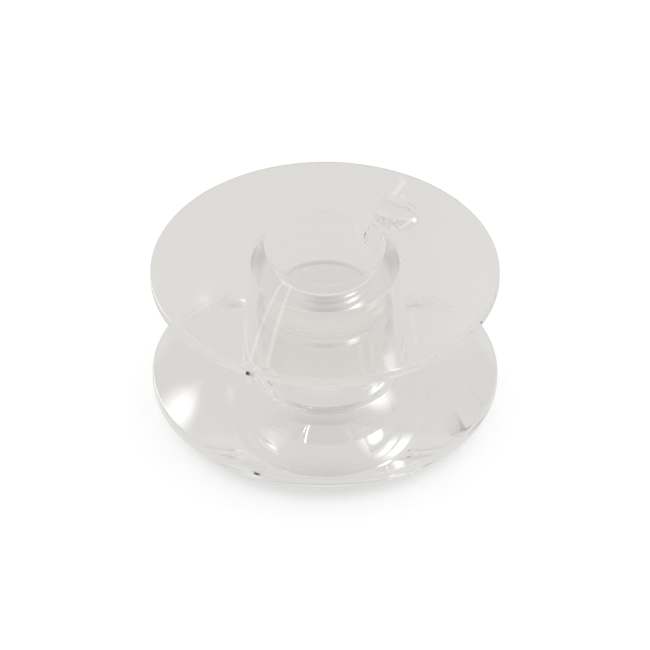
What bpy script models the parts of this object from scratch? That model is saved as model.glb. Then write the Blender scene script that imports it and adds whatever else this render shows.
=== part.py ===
"""Domed drop-in bobbin for a household sewing machine, moulded in clear plastic as two halves.

The upper half is a flange with a thin hub sleeve hanging from it, and it has the winding hole.
The lower half is a flange with a hollow spigot standing on it. The sleeve slides down over the
spigot until its end face meets the lower flange, and the two turn as one. The origin is on the
spin axis at the level of the lower hub face, with +Z along the axis towards the upper half.
"""

import math

import bmesh
import bpy

MM = 0.001

# Driving dimensions
FLANGE_RADIUS = 10.3 * MM
OVERALL_HEIGHT = 11.5 * MM
RIM_TO_RIM = 8.24 * MM  # height between the two rims' outer edges
RIM_THICKNESS = 0.62 * MM
RIM_ROUNDING = 0.12 * MM
DOME_RISE = 0.075 * MM  # how far the outer face bulges above a straight cone
MOUTH_LAND = 0.2 * MM  # flat ring around the bore's mouth

SLEEVE_OUTER_RADIUS = 4.15 * MM
SLEEVE_BORE_RADIUS = 3.5 * MM
SPIGOT_BORE_RADIUS = 3.05 * MM
SPIGOT_TOP = 7.75 * MM
FIT_GAP = 0.04 * MM  # radial gap between the sleeve and the spigot
SEAM_GAP = 0.05 * MM  # gap between the sleeve's end and the lower flange
ROOT_FILLET = 0.2 * MM  # where the sleeve meets the upper flange

# The sleeve's foot, flared where the two halves are joined
FOOT_RADIUS = 4.57 * MM
FOOT_START = 0.5 * MM  # height above the sleeve's end at which the flare begins
FOOT_FILLET = 0.28 * MM
FOOT_LAND = 0.077 * MM  # flat outside the fillet
FOOT_LIP = 0.03 * MM  # thickness at the foot's edge
FOOT_TAPER = 15.5  # degrees from the axis

HOLE_RADIUS = 1.365 * MM
HOLE_CENTRE_RADIUS = 6.0 * MM
HOLE_AZIMUTH = math.radians(46.2)  # from +X towards +Y

# Mesh resolution
TURN_STEPS = 96
DOME_STEPS = 5
CORNER_STEPS = 2
FILLET_STEPS = 3
FOOT_STEPS = 4
HOLE_STEPS = 40

# Heights that follow from the driving dimensions
RIM_TOP = (OVERALL_HEIGHT + RIM_TO_RIM) / 2
UPPER_INNER_FACE = RIM_TOP - RIM_THICKNESS
LOWER_INNER_FACE = OVERALL_HEIGHT - UPPER_INNER_FACE
MOUTH_EDGE = SLEEVE_BORE_RADIUS + MOUTH_LAND


def arc(centre_r, centre_z, radius, start_deg, end_deg, steps):
    """Points of a round corner in the (r, z) half plane, both ends included."""
    points = []
    for i in range(steps + 1):
        angle = math.radians(start_deg + (end_deg - start_deg) * i / steps)
        points.append((centre_r + radius * math.cos(angle), centre_z + radius * math.sin(angle)))
    return points


def domed_face():
    """The upper flange's outer face, from the flat ring at its mouth to its rounded rim."""
    end_r = FLANGE_RADIUS - RIM_ROUNDING
    points = []
    for i in range(DOME_STEPS):
        t = i / DOME_STEPS
        bulge = 4 * DOME_RISE * t * (1 - t)
        r = MOUTH_EDGE + (end_r - MOUTH_EDGE) * t
        points.append((r, OVERALL_HEIGHT + (RIM_TOP - OVERALL_HEIGHT) * t + bulge))
    return points


def rim():
    """The upper flange's rim, from its outer face round to its inner face."""
    inset = FLANGE_RADIUS - RIM_ROUNDING
    upper = arc(inset, RIM_TOP - RIM_ROUNDING, RIM_ROUNDING, 90, 0, CORNER_STEPS)
    lower = arc(inset, UPPER_INNER_FACE + RIM_ROUNDING, RIM_ROUNDING, 0, -90, CORNER_STEPS)
    return upper + lower


def mirrored(points):
    """The same outline turned over for the lower half, kept running the same way round."""
    return [(r, OVERALL_HEIGHT - z) for r, z in reversed(points)]


def upper_outline():
    fillet_centre = (SLEEVE_OUTER_RADIUS + ROOT_FILLET, UPPER_INNER_FACE - ROOT_FILLET)
    sleeve_end = LOWER_INNER_FACE + SEAM_GAP
    foot_centre = (FOOT_RADIUS - FOOT_LAND, sleeve_end + FOOT_LIP + FOOT_FILLET)
    return [
        (SLEEVE_BORE_RADIUS, OVERALL_HEIGHT),
        *domed_face(),
        *rim(),
        *arc(*fillet_centre, ROOT_FILLET, 90, 180, FILLET_STEPS),
        (SLEEVE_OUTER_RADIUS, sleeve_end + FOOT_START),
        *arc(*foot_centre, FOOT_FILLET, 180 + FOOT_TAPER, 270, FOOT_STEPS),
        (FOOT_RADIUS, sleeve_end + FOOT_LIP),
        (FOOT_RADIUS, sleeve_end),
        (SLEEVE_BORE_RADIUS, sleeve_end),
    ]


def lower_outline():
    spigot_radius = SLEEVE_BORE_RADIUS - FIT_GAP
    return [
        (SPIGOT_BORE_RADIUS, SPIGOT_TOP),
        (spigot_radius, SPIGOT_TOP),
        (spigot_radius, LOWER_INNER_FACE),
        *mirrored(domed_face() + rim()),
        (SPIGOT_BORE_RADIUS, 0.0),
    ]


def turned(name, outline):
    """A solid of revolution about Z from a closed (r, z) outline."""
    mesh = bpy.data.meshes.new(name)
    bm = bmesh.new()
    corners = [bm.verts.new((r, 0, z)) for r, z in outline]
    edges = [bm.edges.new((a, b)) for a, b in zip(corners, corners[1:] + corners[:1])]
    bmesh.ops.spin(
        bm,
        geom=corners + edges,
        cent=(0, 0, 0),
        axis=(0, 0, 1),
        angle=2 * math.pi,
        steps=TURN_STEPS,
        use_merge=True,
    )
    bmesh.ops.recalc_face_normals(bm, faces=bm.faces[:])
    bm.to_mesh(mesh)
    bm.free()
    mesh.shade_smooth()
    mesh.set_sharp_from_angle(angle=math.radians(30))
    solid = bpy.data.objects.new(name, mesh)
    bpy.context.scene.collection.objects.link(solid)
    return solid


def cut_winding_hole(flange):
    """The hole through the upper flange that the thread's end is passed out of."""
    bpy.ops.mesh.primitive_cylinder_add(
        vertices=HOLE_STEPS,
        radius=HOLE_RADIUS,
        depth=2 * (OVERALL_HEIGHT - UPPER_INNER_FACE),
        location=(
            HOLE_CENTRE_RADIUS * math.cos(HOLE_AZIMUTH),
            HOLE_CENTRE_RADIUS * math.sin(HOLE_AZIMUTH),
            UPPER_INNER_FACE,
        ),
    )
    cutter = bpy.context.object
    cutter.name = "winding_hole_cutter"
    cutter.hide_render = True
    cutter.display_type = "WIRE"
    cut = flange.modifiers.new("winding_hole", "BOOLEAN")
    cut.operation = "DIFFERENCE"
    cut.solver = "EXACT"
    cut.object = cutter


def clear_plastic(name, colour):
    material = bpy.data.materials.new(name)
    material.use_nodes = True
    shader = material.node_tree.nodes["Principled BSDF"]
    shader.inputs["Base Color"].default_value = (*colour, 1.0)
    shader.inputs["Metallic"].default_value = 0.0
    shader.inputs["Roughness"].default_value = 0.04
    shader.inputs["IOR"].default_value = 1.5
    shader.inputs["Transmission Weight"].default_value = 1.0
    return material


def main():
    for old in list(bpy.data.objects):
        bpy.data.objects.remove(old, do_unlink=True)
    upper_half = turned("upper_half", upper_outline())
    upper_half.data.materials.append(clear_plastic("clear_upper", (0.93, 0.93, 0.92)))
    cut_winding_hole(upper_half)
    lower_half = turned("lower_half", lower_outline())
    lower_half.data.materials.append(clear_plastic("clear_lower", (0.92, 0.92, 0.91)))


main()
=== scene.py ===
"""Looks for a clear moulded sewing machine bobbin: two turned halves in glossy clear plastic.

Lengths are in metres, in the frame of the CAD model: +Z is the spin axis and z = 0 is the floor.
"""

import math

import bmesh
import bpy
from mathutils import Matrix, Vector


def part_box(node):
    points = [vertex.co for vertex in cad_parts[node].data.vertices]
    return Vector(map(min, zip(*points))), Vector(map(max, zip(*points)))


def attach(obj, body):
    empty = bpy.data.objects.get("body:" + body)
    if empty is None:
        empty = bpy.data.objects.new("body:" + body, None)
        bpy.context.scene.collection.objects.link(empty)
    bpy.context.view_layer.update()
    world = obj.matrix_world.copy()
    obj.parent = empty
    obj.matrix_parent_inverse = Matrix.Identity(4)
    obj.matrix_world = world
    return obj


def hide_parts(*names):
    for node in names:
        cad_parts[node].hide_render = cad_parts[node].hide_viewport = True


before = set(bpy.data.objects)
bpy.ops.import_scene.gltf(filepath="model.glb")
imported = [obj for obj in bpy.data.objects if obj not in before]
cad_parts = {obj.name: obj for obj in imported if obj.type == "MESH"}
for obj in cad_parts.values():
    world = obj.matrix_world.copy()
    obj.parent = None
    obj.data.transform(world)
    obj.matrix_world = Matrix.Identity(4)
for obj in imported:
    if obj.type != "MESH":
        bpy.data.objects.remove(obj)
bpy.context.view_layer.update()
UPPER_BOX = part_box("upper_half")
LOWER_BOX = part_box("lower_half")

MM = 0.001

# Read from the CAD frame
FLANGE_RADIUS = UPPER_BOX[1].x
HEIGHT = UPPER_BOX[1].z
SLEEVE_END = UPPER_BOX[0].z
SPIGOT_TOP = LOWER_BOX[1].z

# The same driving dimensions as the CAD solids have
RIM_TO_RIM = 8.24 * MM
RIM_THICKNESS = 0.62 * MM
DOME_RISE = 0.075 * MM
MOUTH_LAND = 0.2 * MM
SLEEVE_OUTER_RADIUS = 4.15 * MM
SLEEVE_BORE_RADIUS = 3.5 * MM
SPIGOT_OUTER_RADIUS = 3.46 * MM
SPIGOT_BORE_RADIUS = 3.05 * MM
FOOT_RADIUS = 4.57 * MM
FOOT_WAIST = 4.28 * MM  # where the flare would meet the foot's top without the fillet
FOOT_START = 0.5 * MM
FOOT_LIP = 0.03 * MM
HOLE_RADIUS = 1.365 * MM
HOLE_CENTRE_RADIUS = 6.0 * MM
HOLE_AZIMUTH = math.radians(46.2)

# Roundings of the moulded edges
RIM_ROUND = 0.12 * MM
MOUTH_ROUND = 0.1 * MM
ROOT_FILLET = 0.2 * MM
FOOT_FILLET = 0.28 * MM
END_ROUND = 0.06 * MM
HOLE_LIP = 0.08 * MM
LIP_SWEEP = math.radians(70)  # short of 90 so that the lip meets the face at a clean edge

# Mesh resolution and shading
TURN_STEPS = 360
DOME_STEPS = 14
CORNER_STEPS = 5
HOLE_STEPS = 96
SHARP_ANGLE = math.radians(22)
FACE_WEIGHT = 80  # above 50 the broad faces decide the shading

# Heights and a radius that follow from the dimensions
RIM_TOP = (HEIGHT + RIM_TO_RIM) / 2
UPPER_INNER_FACE = RIM_TOP - RIM_THICKNESS
LOWER_INNER_FACE = HEIGHT - UPPER_INNER_FACE
MOUTH_EDGE = SLEEVE_BORE_RADIUS + MOUTH_LAND

# Camera: where the photograph was taken from
CAMERA_ELEVATION = math.radians(39.18)
CAMERA_DISTANCE = 0.359
CAMERA_TARGET = Vector((0, 0, 5.54 * MM))
CAMERA_LENS = 334.8  # on the default 36 mm sensor

# The plastic
REFRACTION = 1.5
TINT = (0.99, 0.99, 0.985)
CLOUDED = 0.985  # the tint's lowest share, in the faint clouds of the moulding
WAVE_DEPTH = 0.01 * MM
SCRATCH_DEPTH = 0.002 * MM
SCRATCH_HEADING = 0.6  # radians

# The light tent, with its colours as scene-linear values
TENT_COLOUR = (0.755, 0.742, 0.715)  # what the plastic sees all round it
OPENING_COLOUR = (0.52, 0.51, 0.49)  # the tent's open front, round the camera
OPENING_INNER = math.radians(34)  # fully open within this angle from the camera's direction
OPENING_OUTER = math.radians(72)  # and closed past this one
OPENING_FOOT = math.radians(26)  # closed below this elevation too
OPENING_SILL = math.radians(40)  # and fully open above this one
TOP_COLOUR = (0.64, 0.63, 0.61)  # the tent's top, beside the tubes
TOP_ELEVATION = math.radians(71)
TOP_RADIUS = math.radians(26)
BACKDROP_LEVEL = 1.15  # what the camera sees past the object

# Lamps: a level of 1 shows as white
TUBE_LEVEL = 1.8
SOFTBOX_LEVEL = 1.05
TENT_RADIUS = 0.5
TUBE_HEIGHT = 0.54
TUBE_BACK = 0.17
TUBE_LENGTH = 0.36
LIGHT_BOUNCES = 128  # light stays trapped in the thin walls for long paths

# The floor as the camera sees it: its albedo and its own glow away from the object, with a painted
# contact shadow close round the object and a painted shadow behind it.
# An edge gives the two levels of a spot at which its patch begins and is complete.
FLOOR_SIZE = 2.0
FLOOR_ALBEDO = (0.66, 0.67, 0.69)
FLOOR_GLOW = (0.62, 0.62, 0.62)
# Painted contact shadow: darker albedo and glow in a soft oval round the object
CONTACT_SHADOW_SIZE = (24 * MM, 24 * MM)
CONTACT_SHADOW_EDGE = (0.06, 0.2)
CONTACT_SHADOW_ALBEDO = (0.5, 0.5, 0.5)
CONTACT_SHADOW_GLOW = (0.5, 0.5, 0.5)
# Painted shadow behind the object: a dark soft oval of albedo
BACK_SHADOW_PLACE = (0, 12.1 * MM)
BACK_SHADOW_SIZE = (20.6 * MM, 20.6 * MM)
BACK_SHADOW_EDGE = (0, 0.3)
BACK_SHADOW_ALBEDO = (0.11, 0.11, 0.11)

# The floor as the plastic shows it, painted into its glow: painted shade under and behind the object,
# and painted light that leaves it open and paler in front
SHADE_UNDER = (0.695, 0.685, 0.665)
SHADE_BEHIND = (0.735, 0.722, 0.70)
BEHIND_START = 8 * MM
BEHIND_FULL = 12 * MM
OPEN_FLOOR = (0.92, 0.92, 0.92)
OPEN_INNER_SIZE = (24.4 * MM, 22.4 * MM)
OPEN_INNER_EDGE = (0.1, 0)
OPEN_OUTER_SIZE = (32 * MM, 32 * MM)
OPEN_OUTER_EDGE = (0, 0.25)
FRONT_START = 6.5 * MM
FRONT_FULL = 2.5 * MM
# The warm tone of the painted patches of light and shade below
SPOT_TONE = (1.0, 0.985, 0.955)
# Soft patches of painted light and shade on it: x, y, width and depth in millimetres, and the level
FLOOR_SPOTS = [
    (0.0, -5.0, 12.0, 7.0, 0.54),  # in front of the hub
    (0.0, 1.3, 6.5, 4.6, 0.80),  # under the hub
    (0.1, 4.5, 4.0, 3.2, 0.54),  # at the hub's back
    (6.5, 8.5, 9.0, 15.0, 0.77),  # behind the hub on the right
    (-8.3, -1.3, 2.8, 4.8, 1.2),  # under the flange on the left
    (3.1, -1.4, 2.6, 3.0, 1.25),  # under the hub on the right
    (13.8, 4.6, 6.0, 9.0, 1.25),  # past the rim on the right
]


# ---------------------------------------------------------------- geometry


def dome_height(r):
    """Height of the upper flange's outer face at radius r."""
    t = (r - MOUTH_EDGE) / (FLANGE_RADIUS - MOUTH_EDGE)
    return HEIGHT + (RIM_TOP - HEIGHT) * t + 4 * DOME_RISE * t * (1 - t)


def dome():
    """Corners along the upper flange's outer face, between its mouth and its rim."""
    corners = []
    for i in range(1, DOME_STEPS):
        r = MOUTH_EDGE + (FLANGE_RADIUS - MOUTH_EDGE) * i / DOME_STEPS
        corners.append((r, dome_height(r), 0))
    return corners


def rotated(spoke, angle):
    return Vector((
        spoke.x * math.cos(angle) - spoke.y * math.sin(angle),
        spoke.x * math.sin(angle) + spoke.y * math.cos(angle),
    ))


def rounded(corners):
    """The closed outline of corners (r, z, radius), with each corner turned into an arc."""
    points = []
    for i, (r, z, radius) in enumerate(corners):
        here = Vector((r, z))
        if radius == 0:
            points.append(here)
            continue
        back = (Vector(corners[i - 1][:2]) - here).normalized()
        ahead = (Vector(corners[(i + 1) % len(corners)][:2]) - here).normalized()
        half_angle = back.angle(ahead) / 2
        centre = here + (back + ahead).normalized() * radius / math.sin(half_angle)
        first = here + back * radius / math.tan(half_angle) - centre
        last = here + ahead * radius / math.tan(half_angle) - centre
        sweep = first.angle_signed(last)
        for step in range(CORNER_STEPS + 1):
            points.append(centre + rotated(first, -sweep * step / CORNER_STEPS))
    return points


def flange_corners():
    """The upper flange from its mouth, over the dome and round the rim, to its inner face."""
    return [
        (SLEEVE_BORE_RADIUS, HEIGHT, MOUTH_ROUND),
        (MOUTH_EDGE, HEIGHT, 0),
        *dome(),
        (FLANGE_RADIUS, RIM_TOP, RIM_ROUND),
        (FLANGE_RADIUS, UPPER_INNER_FACE, RIM_ROUND),
    ]


def upper_outline():
    return rounded([
        *flange_corners(),
        (SLEEVE_OUTER_RADIUS, UPPER_INNER_FACE, ROOT_FILLET),
        (SLEEVE_OUTER_RADIUS, SLEEVE_END + FOOT_START, 0),
        (FOOT_WAIST, SLEEVE_END + FOOT_LIP, FOOT_FILLET),
        (FOOT_RADIUS, SLEEVE_END + FOOT_LIP, FOOT_LIP / 3),
        (FOOT_RADIUS, SLEEVE_END, 0),
        (SLEEVE_BORE_RADIUS, SLEEVE_END, END_ROUND),
    ])


def lower_outline():
    mirrored = [(r, HEIGHT - z, radius) for r, z, radius in reversed(flange_corners()[1:])]
    return rounded([
        (SPIGOT_BORE_RADIUS, SPIGOT_TOP, END_ROUND),
        (SPIGOT_OUTER_RADIUS, SPIGOT_TOP, END_ROUND),
        (SPIGOT_OUTER_RADIUS, LOWER_INNER_FACE, 0),
        *mirrored,
        (SPIGOT_BORE_RADIUS, 0, MOUTH_ROUND),
    ])


def add_solid(name, bm):
    """An object of the closed mesh that has been built, with its faces turned outwards."""
    bmesh.ops.recalc_face_normals(bm, faces=bm.faces[:])
    mesh = bpy.data.meshes.new(name)
    bm.to_mesh(mesh)
    bm.free()
    solid = bpy.data.objects.new(name, mesh)
    bpy.context.scene.collection.objects.link(solid)
    return solid


def turned(name, outline):
    """A solid of revolution about Z from a closed (r, z) outline."""
    bm = bmesh.new()
    corners = [bm.verts.new((point.x, 0, point.y)) for point in outline]
    edges = [bm.edges.new((a, b)) for a, b in zip(corners, corners[1:] + corners[:1])]
    bmesh.ops.spin(
        bm,
        geom=corners + edges,
        cent=(0, 0, 0),
        axis=(0, 0, 1),
        angle=2 * math.pi,
        steps=TURN_STEPS,
        use_merge=True,
    )
    return add_solid(name, bm)


def lip_stations():
    """The winding hole's cutter from bottom to top: (radius, whether on the dome, height over it)."""
    lip = []
    for i in range(CORNER_STEPS + 1):
        angle = LIP_SWEEP * i / CORNER_STEPS
        radius = HOLE_RADIUS + HOLE_LIP * (1 - math.cos(angle))
        depth = HOLE_LIP * (math.sin(LIP_SWEEP) - math.sin(angle))
        lip.append((radius, depth))
    outside = HOLE_RADIUS + 2 * HOLE_LIP
    past_face = 2 * HOLE_LIP
    stations = [(outside, False, -past_face)]
    stations += [(radius, False, depth) for radius, depth in reversed(lip)]
    stations += [(radius, True, -depth) for radius, depth in lip]
    stations.append((outside, True, past_face))
    return stations


def cutter_rings():
    """Rings of corners for the cutter, which follow the dome's slope at the top."""
    centre = Vector((math.cos(HOLE_AZIMUTH), math.sin(HOLE_AZIMUTH))) * HOLE_CENTRE_RADIUS
    rings = []
    for radius, on_dome, height in lip_stations():
        ring = []
        for i in range(HOLE_STEPS):
            angle = 2 * math.pi * i / HOLE_STEPS
            spoke = Vector((math.cos(angle), math.sin(angle)))
            wall = centre + spoke * HOLE_RADIUS
            face = dome_height(wall.length) if on_dome else UPPER_INNER_FACE
            place = centre + spoke * radius
            ring.append((place.x, place.y, face + height))
        rings.append(ring)
    return rings


def hole_cutter():
    """A solid that cuts the winding hole and rounds its two lips."""
    bm = bmesh.new()
    loops = [[bm.verts.new(place) for place in ring] for ring in cutter_rings()]
    for lower, upper in zip(loops, loops[1:]):
        for i in range(HOLE_STEPS):
            j = (i + 1) % HOLE_STEPS
            bm.faces.new((lower[i], lower[j], upper[j], upper[i]))
    bm.faces.new(list(reversed(loops[0])))
    bm.faces.new(loops[-1])
    return add_solid("winding_hole_cutter", bm)


def cut_winding_hole(flange):
    """Cuts the thread's hole, with the cut applied to the mesh and the cutter removed."""
    cutter = hole_cutter()
    cut = flange.modifiers.new("winding_hole", "BOOLEAN")
    cut.operation = "DIFFERENCE"
    cut.solver = "EXACT"
    cut.object = cutter
    evaluated = flange.evaluated_get(bpy.context.evaluated_depsgraph_get())
    mesh = bpy.data.meshes.new_from_object(evaluated)
    flange.modifiers.clear()
    flange.data = mesh
    bpy.data.objects.remove(cutter, do_unlink=True)


def shade(piece):
    """Smooth shading that stays flat on broad faces and crisp at unrounded edges."""
    piece.data.shade_smooth()
    piece.data.set_sharp_from_angle(angle=SHARP_ANGLE)
    weigh = piece.modifiers.new("face_weighted_shading", "WEIGHTED_NORMAL")
    weigh.keep_sharp = True
    weigh.weight = FACE_WEIGHT


# ------------------------------------------------------------- shader helpers


def add_node(tree, kind, **values):
    """A new shader node with its properties and unlinked inputs set."""
    node = tree.nodes.new(kind)
    for name, value in values.items():
        if name in node.bl_rna.properties:
            setattr(node, name, value)
        else:
            node.inputs[name.replace("_", " ")].default_value = value
    return node


def new_material(name):
    """A material, with its node tree and its Principled shader."""
    material = bpy.data.materials.new(name)
    material.use_nodes = True
    return material, material.node_tree, material.node_tree.nodes["Principled BSDF"]


def mix_colour(tree, factor, colour_a, colour_b):
    """Goes from colour_a at factor 0 to colour_b at factor 1; either may be a colour or a socket."""
    mix = add_node(tree, "ShaderNodeMix", data_type="RGBA")
    for name, colour in (("A", colour_a), ("B", colour_b)):
        if isinstance(colour, tuple):
            mix.inputs[name].default_value = (*colour, 1.0)
        else:
            tree.links.new(colour, mix.inputs[name])
    tree.links.new(factor, mix.inputs["Factor"])
    return mix.outputs["Result"]


def fade(tree, value, start, end):
    """A smooth step of the value, from 0 at start to 1 at end."""
    step = add_node(tree, "ShaderNodeMapRange", interpolation_type="SMOOTHSTEP")
    step.inputs["From Min"].default_value = start
    step.inputs["From Max"].default_value = end
    tree.links.new(value, step.inputs["Value"])
    return step.outputs["Result"]


def multiply(tree, first, second):
    """The product of two sockets."""
    product = add_node(tree, "ShaderNodeMath", operation="MULTIPLY")
    tree.links.new(first, product.inputs[0])
    tree.links.new(second, product.inputs[1])
    return product.outputs["Value"]


def part_of(tree, place, axis):
    """One coordinate of a place: X, Y or Z."""
    parts = add_node(tree, "ShaderNodeSeparateXYZ")
    tree.links.new(place, parts.inputs["Vector"])
    return parts.outputs[axis]


def is_camera_ray(tree):
    """1 where the camera looks directly, and 0 for other light, such as what the plastic shows."""
    return add_node(tree, "ShaderNodeLightPath").outputs["Is Camera Ray"]


def spot(tree, place, x, y, width, depth):
    """A soft oval on the floor: 1 at its centre, falling to 0 at its edge."""
    shift = add_node(tree, "ShaderNodeVectorMath", operation="SUBTRACT")
    shift.inputs[1].default_value = (x, y, 0)
    tree.links.new(place, shift.inputs[0])
    stretch = add_node(tree, "ShaderNodeVectorMath", operation="MULTIPLY")
    stretch.inputs[1].default_value = (2 / width, 2 / depth, 0)
    tree.links.new(shift.outputs["Vector"], stretch.inputs[0])
    reach = add_node(tree, "ShaderNodeVectorMath", operation="LENGTH")
    tree.links.new(stretch.outputs["Vector"], reach.inputs[0])
    return fade(tree, reach.outputs["Value"], 1, 0)


def near_heading(tree, place, heading, outer, inner):
    """For a direction, 1 within the inner angle of the heading, falling to 0 at the outer one."""
    facing = add_node(tree, "ShaderNodeVectorMath", operation="DOT_PRODUCT")
    facing.inputs[1].default_value = heading
    tree.links.new(place, facing.inputs[0])
    return fade(tree, facing.outputs["Value"], math.cos(outer), math.cos(inner))


# --------------------------------------------------------------- materials


def noise(tree, place, scale, detail, seed):
    """Fractal noise, which another seed makes different."""
    node = add_node(
        tree, "ShaderNodeTexNoise", noise_dimensions="4D", Scale=scale, Detail=detail, W=seed
    )
    tree.links.new(place, node.inputs["Vector"])
    return node.outputs["Fac"]


def flow_waves(tree, place, seed):
    """The normal of the faint waves that the plastic's flow left in its surface."""
    bump = add_node(tree, "ShaderNodeBump", Strength=0.12, Distance=WAVE_DEPTH)
    tree.links.new(noise(tree, place, scale=170.0, detail=1.0, seed=seed), bump.inputs["Height"])
    return bump.outputs["Normal"]


def handling_scratches(tree, place, seed):
    """Noise drawn out into fine strokes that all run one way."""
    stretch = add_node(tree, "ShaderNodeMapping", Scale=(9000.0, 700.0, 700.0))
    stretch.inputs["Rotation"].default_value = (0.0, 0.0, SCRATCH_HEADING)
    tree.links.new(place, stretch.inputs["Vector"])
    return noise(tree, stretch.outputs["Vector"], scale=1.0, detail=3.0, seed=seed)


def scratch_gloss(tree, scratches):
    """Roughness that the stronger scratches raise a little."""
    gloss = add_node(
        tree, "ShaderNodeMapRange", From_Min=0.45, From_Max=0.8, To_Min=0.008, To_Max=0.05
    )
    tree.links.new(scratches, gloss.inputs["Value"])
    return gloss.outputs["Result"]


def clear_plastic(name, seed):
    """Polished clear styrene: faint flow waves, handling scratches and a trace of haze."""
    material, tree, shader = new_material(name)
    shader.inputs["IOR"].default_value = REFRACTION
    shader.inputs["Transmission Weight"].default_value = 1.0
    place = add_node(tree, "ShaderNodeTexCoord").outputs["Object"]

    scratches = handling_scratches(tree, place, seed)
    tree.links.new(scratch_gloss(tree, scratches), shader.inputs["Roughness"])
    bump = add_node(tree, "ShaderNodeBump", Strength=0.02, Distance=SCRATCH_DEPTH)
    tree.links.new(scratches, bump.inputs["Height"])
    tree.links.new(flow_waves(tree, place, seed), bump.inputs["Normal"])
    tree.links.new(bump.outputs["Normal"], shader.inputs["Normal"])

    clouded = tuple(part * CLOUDED for part in TINT)
    clouds = noise(tree, place, scale=150.0, detail=4.0, seed=seed + 3)
    tree.links.new(mix_colour(tree, clouds, clouded, TINT), shader.inputs["Base Color"])
    return material


def black_card_material():
    material, _, shader = new_material("black_card")
    shader.inputs["Base Color"].default_value = (0.0, 0.0, 0.0, 1.0)
    shader.inputs["Specular IOR Level"].default_value = 0.0
    return material


def light_under_plastic(tree, place):
    """The floor's glow as the plastic shows it: the object's painted soft shade, with patches of
    painted light and shade.
    """
    depth = part_of(tree, place, "Y")
    level = mix_colour(tree, fade(tree, depth, BEHIND_START, BEHIND_FULL), SHADE_UNDER, SHADE_BEHIND)
    for *oval, value in FLOOR_SPOTS:
        patch = tuple(value * part for part in SPOT_TONE)
        level = mix_colour(tree, spot(tree, place, *[length * MM for length in oval]), level, patch)
    return mix_colour(tree, open_floor(tree, place, depth), level, OPEN_FLOOR)


def open_floor(tree, place, depth):
    """The mask for painted light on a ring of floor round the object, only in front of it."""
    outside = fade(tree, spot(tree, place, 0, 0, *OPEN_INNER_SIZE), *OPEN_INNER_EDGE)
    inside = fade(tree, spot(tree, place, 0, 0, *OPEN_OUTER_SIZE), *OPEN_OUTER_EDGE)
    in_front = fade(tree, depth, FRONT_START, FRONT_FULL)
    return multiply(tree, multiply(tree, outside, inside), in_front)


def floor_material():
    """A matt pale floor that also glows, with real soft shadows, a painted contact shadow and a
    painted shadow behind the object; the plastic shows only its glow, with painted shade and light.
    """
    material, tree, shader = new_material("pale_floor")
    shader.inputs["Roughness"].default_value = 0.9
    shader.inputs["Specular IOR Level"].default_value = 0.0
    shader.inputs["Emission Strength"].default_value = 1.0
    place = add_node(tree, "ShaderNodeTexCoord").outputs["Object"]
    seen = is_camera_ray(tree)
    # painted contact shadow round the object, in both albedo and glow
    near = fade(tree, spot(tree, place, 0, 0, *CONTACT_SHADOW_SIZE), *CONTACT_SHADOW_EDGE)
    # painted shadow behind the object, in albedo only
    behind = fade(tree, spot(tree, place, *BACK_SHADOW_PLACE, *BACK_SHADOW_SIZE), *BACK_SHADOW_EDGE)
    albedo = mix_colour(tree, near, FLOOR_ALBEDO, CONTACT_SHADOW_ALBEDO)
    albedo = mix_colour(tree, behind, albedo, BACK_SHADOW_ALBEDO)
    tree.links.new(mix_colour(tree, seen, (0, 0, 0), albedo), shader.inputs["Base Color"])
    glow = mix_colour(tree, near, FLOOR_GLOW, CONTACT_SHADOW_GLOW)
    # what the plastic sees is the glow with painted shade and light
    glow = mix_colour(tree, seen, light_under_plastic(tree, place), glow)
    tree.links.new(glow, shader.inputs["Emission Color"])
    return material


# ------------------------------------------------------------ stage and light


def direction(azimuth, elevation):
    """A unit vector from the object, with the azimuth counted from +Y towards +X."""
    return Vector((
        math.sin(azimuth) * math.cos(elevation),
        math.cos(azimuth) * math.cos(elevation),
        math.sin(elevation),
    ))


def camera_direction():
    """From the object towards the camera."""
    return Vector((0, -math.cos(CAMERA_ELEVATION), math.sin(CAMERA_ELEVATION)))


def make_floor():
    bpy.ops.mesh.primitive_plane_add(size=FLOOR_SIZE)
    floor = bpy.context.object
    floor.name = "floor"
    floor.data.materials.append(floor_material())


def tent_colour(tree, place):
    """The tent's wall in each direction: dimmer at its open front and at its top."""
    around = near_heading(tree, place, camera_direction(), OPENING_OUTER, OPENING_INNER)
    height = part_of(tree, place, "Z")
    above = fade(tree, height, math.sin(OPENING_FOOT), math.sin(OPENING_SILL))
    tent = mix_colour(tree, multiply(tree, around, above), TENT_COLOUR, OPENING_COLOUR)
    top = near_heading(tree, place, direction(0, TOP_ELEVATION), TOP_RADIUS, 0)
    return mix_colour(tree, top, tent, TOP_COLOUR)


def make_world():
    """A white light tent, with a plain white backdrop where the camera looks past the object."""
    world = bpy.data.worlds.new("light_tent")
    bpy.context.scene.world = world
    world.use_nodes = True
    tree = world.node_tree
    place = add_node(tree, "ShaderNodeTexCoord").outputs["Generated"]
    level = mix_colour(tree, is_camera_ray(tree), tent_colour(tree, place), (BACKDROP_LEVEL,) * 3)
    tree.links.new(level, tree.nodes["Background"].inputs["Color"])


def add_lamp(name, level, width, length):
    """A rectangular area lamp that looks straight down and shows as this level of white."""
    data = bpy.data.lights.new(name, "AREA")
    data.shape = "RECTANGLE"
    data.size = width
    data.size_y = length
    data.energy = level * math.pi * width * length
    lamp = bpy.data.objects.new(name, data)
    bpy.context.scene.collection.objects.link(lamp)
    return lamp


def make_tube(name, slope, width):
    """A tube lamp that runs from front to back; its slope is its shift to the left over its height."""
    lamp = add_lamp(name, TUBE_LEVEL, width, TUBE_LENGTH)
    lamp.location = (-slope * TUBE_HEIGHT, TUBE_BACK, TUBE_HEIGHT)


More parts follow.
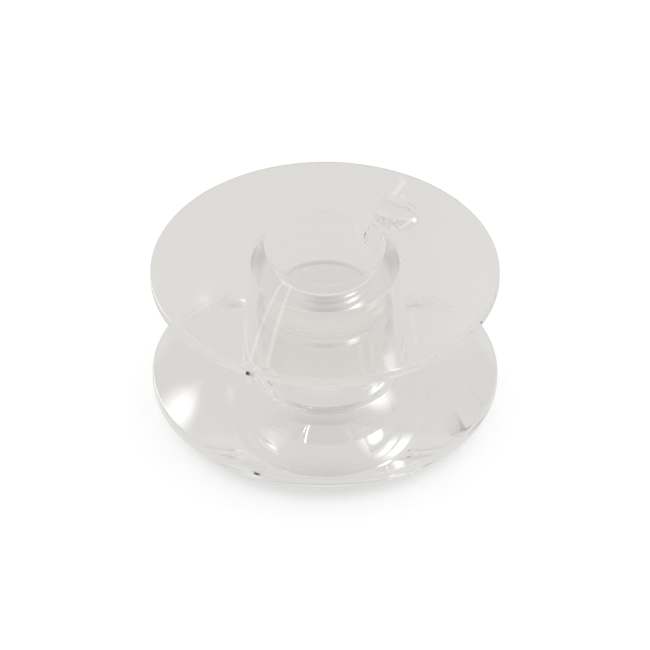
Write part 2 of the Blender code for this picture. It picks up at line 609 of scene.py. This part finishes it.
def make_softbox(name, azimuth, elevation, width, height):
    """A soft lamp at the tent's side, aimed at the object."""
    lamp = add_lamp(name, SOFTBOX_LEVEL, width, height)
    towards = direction(azimuth, elevation)
    lamp.location = towards * TENT_RADIUS
    lamp.rotation_euler = (-towards).to_track_quat("-Z", "Y").to_euler()
    soften_edges(lamp)


def soften_edges(lamp):
    """Lets an area lamp fade from its middle to its edges, in coordinates of 0 to 1 across it."""
    lamp.data.use_nodes = True
    tree = lamp.data.node_tree
    place = add_node(tree, "ShaderNodeNewGeometry").outputs["Parametric"]
    from_middle = add_node(tree, "ShaderNodeVectorMath", operation="DISTANCE")
    from_middle.inputs[1].default_value = (0.5, 0.5, 0)
    tree.links.new(place, from_middle.inputs[0])
    level = fade(tree, from_middle.outputs["Value"], start=0.5, end=0.1)
    tree.links.new(level, tree.nodes["Emission"].inputs["Strength"])


def make_card(name, azimuth, elevation, width, height):
    """A black card that stands in the tent and is seen only in the plastic."""
    towards = direction(azimuth, elevation)
    bpy.ops.mesh.primitive_plane_add(size=1.0)
    card = bpy.context.object
    card.name = name
    card.scale = (width, height, 1.0)
    card.location = towards * TENT_RADIUS
    card.rotation_euler = (-towards).to_track_quat("Z", "Y").to_euler()
    card.visible_camera = False
    card.visible_diffuse = False
    card.visible_shadow = False
    card.data.materials.append(black_card_material())


def make_camera():
    data = bpy.data.cameras.new("camera")
    data.lens = CAMERA_LENS
    data.clip_start = 0.01
    camera = bpy.data.objects.new("camera", data)
    bpy.context.scene.collection.objects.link(camera)
    camera.location = CAMERA_TARGET + camera_direction() * CAMERA_DISTANCE
    camera.rotation_euler = (math.pi / 2 - CAMERA_ELEVATION, 0, 0)
    bpy.context.scene.camera = camera


def set_light_paths():
    scene = bpy.context.scene
    scene.view_settings.view_transform = "Standard"
    scene.cycles.max_bounces = LIGHT_BOUNCES
    scene.cycles.transmission_bounces = LIGHT_BOUNCES
    scene.cycles.glossy_bounces = LIGHT_BOUNCES
    scene.cycles.transparent_max_bounces = LIGHT_BOUNCES


# ------------------------------------------------------------------- pieces


def make_upper_half():
    piece = turned("upper_half_clear", upper_outline())
    cut_winding_hole(piece)
    shade(piece)
    piece.data.materials.append(clear_plastic("clear_upper", 1.0))
    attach(piece, "root")
    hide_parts("upper_half")


def make_lower_half():
    piece = turned("lower_half_clear", lower_outline())
    shade(piece)
    piece.data.materials.append(clear_plastic("clear_lower", 7.0))
    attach(piece, "root")
    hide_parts("lower_half")


make_upper_half()
make_lower_half()
make_floor()
make_world()
make_tube("tube_inner", slope=0.178, width=0.007)
make_tube("tube_outer", slope=0.232, width=0.006)
make_softbox("softbox", math.radians(84), math.radians(26), width=0.38, height=0.28)
make_card("card_high", math.radians(-72), math.radians(40), width=0.1, height=0.08)
make_card("card_low", math.radians(-75), math.radians(7), width=0.18, height=0.05)
make_camera()
set_light_paths()
